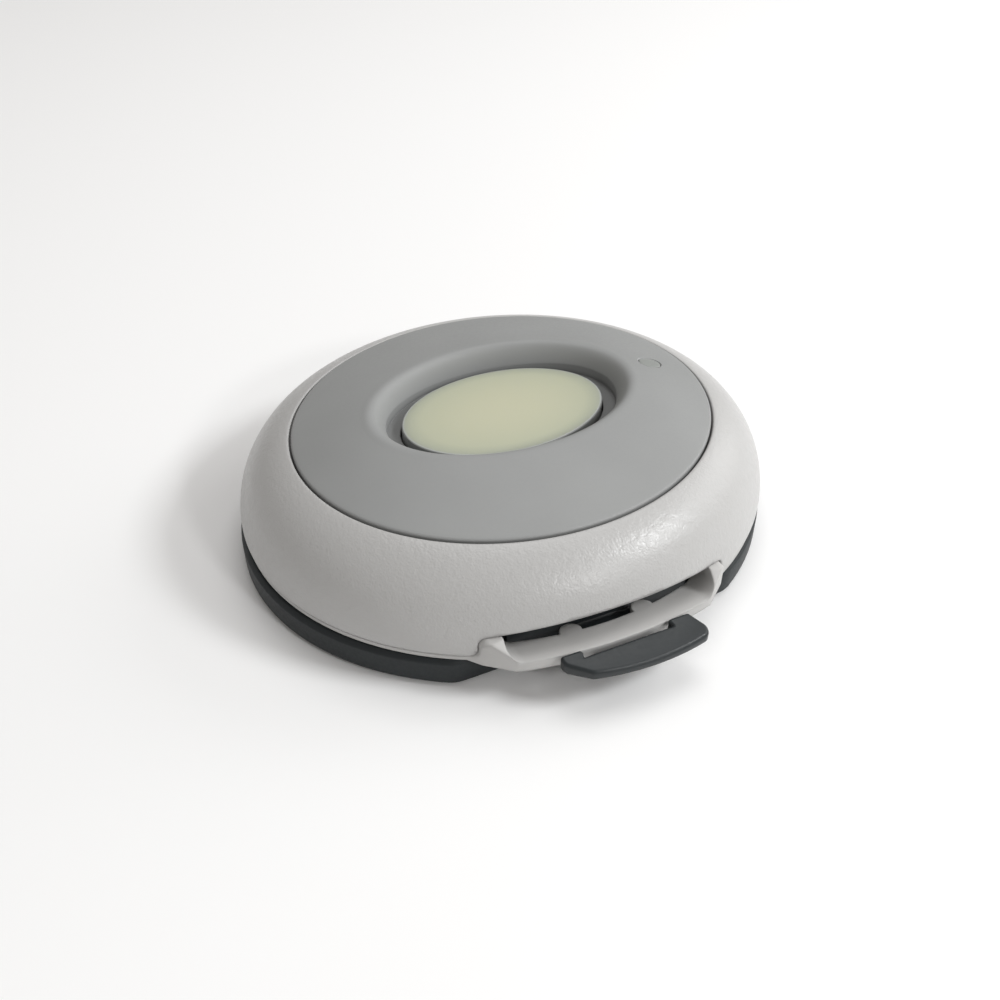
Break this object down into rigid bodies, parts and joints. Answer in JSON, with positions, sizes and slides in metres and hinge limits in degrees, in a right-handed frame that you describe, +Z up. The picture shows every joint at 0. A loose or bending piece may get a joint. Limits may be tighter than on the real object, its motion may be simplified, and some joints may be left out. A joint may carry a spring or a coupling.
{
  "type": "panic button",
  "caption": "Palm-sized wireless panic button: a domed two-tone grey housing with a recessed pale oval button, a strap slot, and a dark clip-on wall and table cradle.",
  "frame": {"origin": "centre of the cradle's underside pad, on the table or wall", "axes": "+X along the long axis towards the indicator window, -Y towards the strap slot and thumb latch, +Z up out of the button"},
  "size_m": [0.0544, 0.053, 0.0148],
  "materials": {
    "shell_grey": "fine grained",
    "cover_grey": "smooth, satin",
    "bezel_grey": "smooth matte",
    "charcoal": "matte, fine texture",
    "charcoal_latch": "satin",
    "button_rim": "translucent matte",
    "glow_inlay": "pale yellow-green, satin",
    "clear_window": "clear polished plastic",
    "silicone": "soft matte",
    "seal_rubber": "soft matte",
    "pad_foam": "foam, matte",
    "screw_steel": "bright",
    "contact_metal": "bright",
    "cell_steel": "bright",
    "board_green": "satin lacquer",
    "chip_black": "matte",
    "switch_black": "matte",
    "stem_white": "matte",
    "shield_metal": "satin",
    "crystal_metal": "bright",
    "antenna_ceramic": "matte",
    "lamp_white": "clear gloss",
    "small_parts": "matte"
  },
  "bodies": {
    "cradle": {"cradle": "charcoal", "mounting_pad": "pad_foam"},
    "latch": {"latch_tab": "charcoal_latch"},
    "device": {"back_cover": "cover_grey", "top_shell": "shell_grey", "bezel": "bezel_grey", "gasket": "seal_rubber", "cover_screws": "screw_steel", "light_pipe": "clear_window", "circuit_board": "board_green", "board_screws": "screw_steel", "microcontroller": "chip_black", "radio_shield": "shield_metal", "crystal": "crystal_metal", "antenna": "antenna_ceramic", "led": "lamp_white", "chip_parts": "small_parts", "switch_body": "switch_black", "coin_cell": "cell_steel", "negative_contact": "contact_metal", "positive_contact": "contact_metal", "return_skirt": "silicone"},
    "button": {"button_cap": "button_rim", "glow_inlay": "glow_inlay", "switch_stem": "stem_white"}
  },
  "joints": [
    {"name": "device_lift", "type": "slide", "parent": "cradle", "child": "device", "axis": [0, 0, 1], "range_m": [0, 0.02]},
    {"name": "latch_flex", "type": "hinge", "parent": "cradle", "child": "latch", "pos_m": [0, -0.0202, 0.0023], "axis": [1, 0, 0], "range_deg": [0, 8], "stiffness_Nm_per_rad": 0.25},
    {"name": "button_press", "type": "slide", "parent": "device", "child": "button", "axis": [0, 0, -1], "range_m": [0, 0.0006], "stiffness_N_per_m": 3000, "springref_m": -0.0003, "deforming": ["return_skirt"]}
  ]
}
